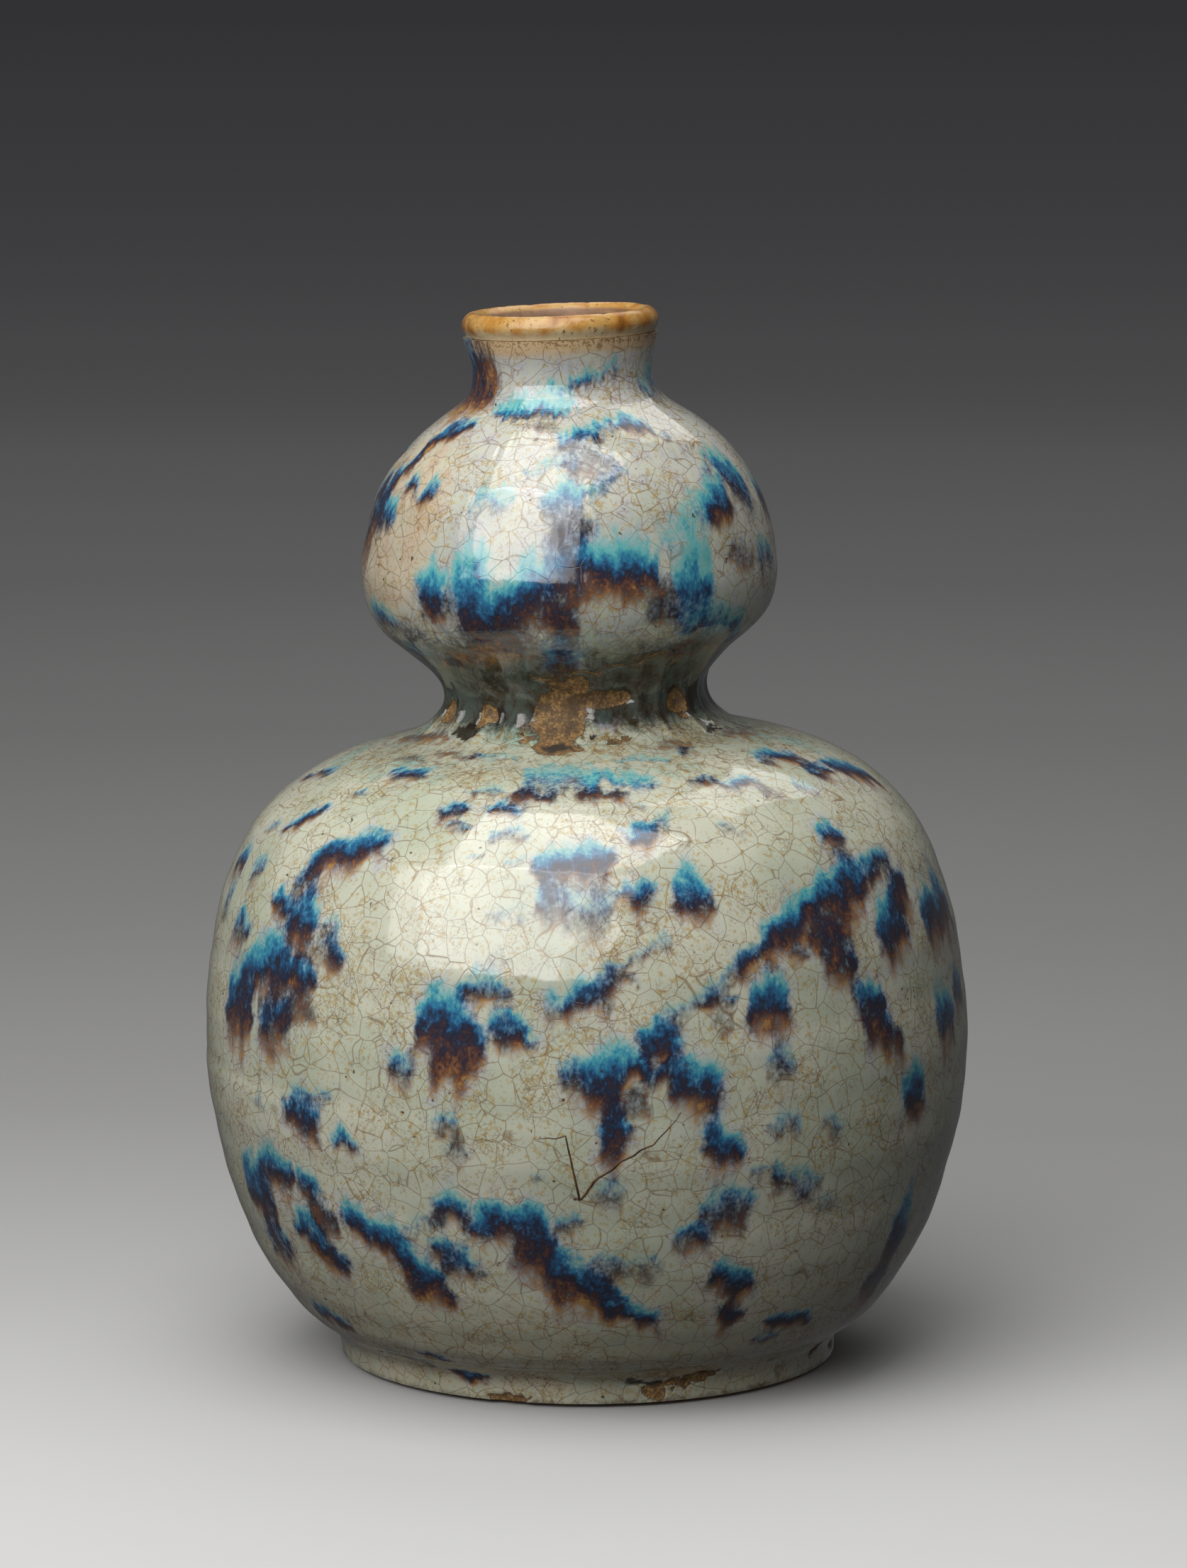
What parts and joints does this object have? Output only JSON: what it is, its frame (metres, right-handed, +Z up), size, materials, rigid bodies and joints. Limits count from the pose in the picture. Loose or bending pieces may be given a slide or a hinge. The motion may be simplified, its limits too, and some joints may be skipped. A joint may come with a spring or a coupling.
{
  "type": "double gourd vase",
  "caption": "Double gourd vase: a wide lower bulb, a pinched waist, a smaller leaning upper bulb and a rolled lip, under splashed crackle glaze. Stands on a foot ring and holds stems.",
  "frame": {"origin": "on the table under the middle of the belly, at the centre of the foot ring", "axes": "+Z up; -X the side that the upper bulb leans to; -Y the side that the picture shows"},
  "size_m": [0.1524, 0.1524, 0.2105],
  "materials": {
    "stoneware": "unglazed fired clay",
    "slip": "fired slip",
    "glaze": "gloss celadon crackle glaze with blue and brown splashes",
    "lip_wash": "thin glossy iron wash"
  },
  "bodies": {
    "root": {"foot_ring": "stoneware", "foot_slip_seam": "slip", "lower_bowl": "stoneware", "belly_slip_seam": "slip", "shoulder_dome": "stoneware", "waist_slip_seam": "slip", "upper_bulb": "stoneware", "neck_slip_seam": "slip", "neck": "stoneware", "lower_glaze_coat": "glaze", "upper_glaze_coat": "glaze", "lip_wash": "lip_wash"}
  },
  "joints": []
}
